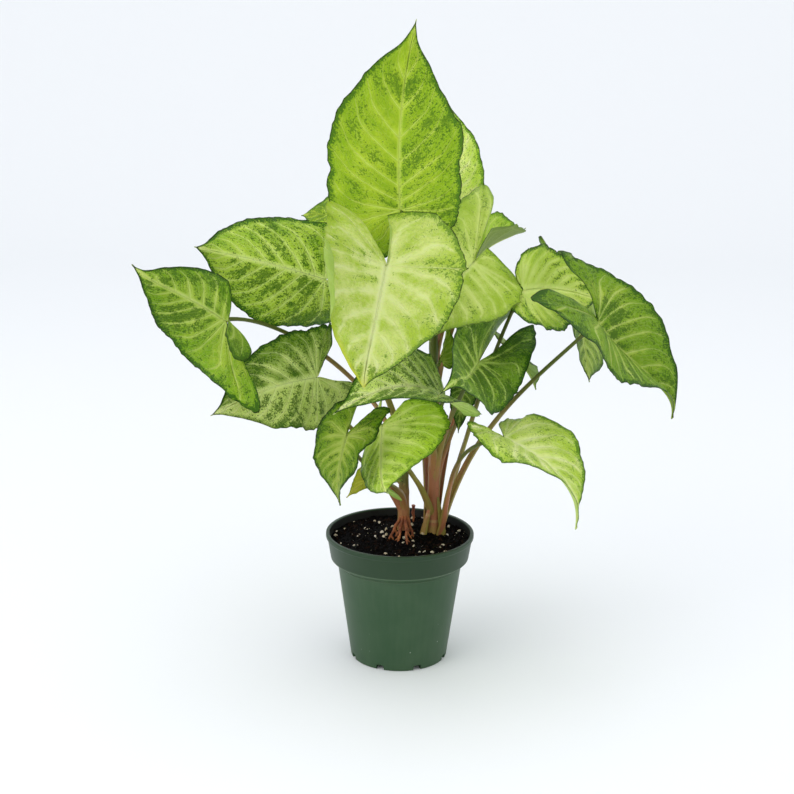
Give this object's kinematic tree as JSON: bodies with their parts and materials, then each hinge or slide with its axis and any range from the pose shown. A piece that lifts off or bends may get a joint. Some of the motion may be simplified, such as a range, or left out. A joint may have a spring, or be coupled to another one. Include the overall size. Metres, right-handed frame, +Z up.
{
  "type": "potted plant",
  "caption": "Bushy arrowhead vine with pale green and white arrow-shaped leaves on long stalks, in a round dark green nursery pot of soil.",
  "frame": {"origin": "centre of the pot's foot, on the surface it stands on", "axes": "+X to the right of the plant's front, +Y to its back, +Z up"},
  "size_m": [0.3651, 0.2824, 0.4545],
  "materials": {
    "leaf": "satin",
    "stem": "satin",
    "potting_mix": "matte",
    "pot": "satin"
  },
  "bodies": {
    "root": {"leaf_behind_right": "leaf", "leaf_centre_low": "leaf", "leaf_centre_right": "leaf", "leaf_crown": "leaf", "leaf_far_left": "leaf", "leaf_far_right": "leaf", "leaf_front": "leaf", "leaf_front_low": "leaf", "leaf_hidden_right": "leaf", "leaf_left_droop": "leaf", "leaf_low_left": "leaf", "leaf_mid_right": "leaf", "leaf_rear_crown": "leaf", "leaf_rear_left": "leaf", "leaf_rear_right": "leaf", "leaf_right_low": "leaf", "leaf_right_pale": "leaf", "leaf_up_left": "leaf", "leaf_yellow": "leaf", "leaf_young_curl": "leaf", "leaf_young_low": "leaf", "leaf_young_pale": "leaf", "nursery_pot": "pot", "potting_soil": "potting_mix", "shoot_left": "stem", "shoot_right": "stem"}
  },
  "joints": []
}
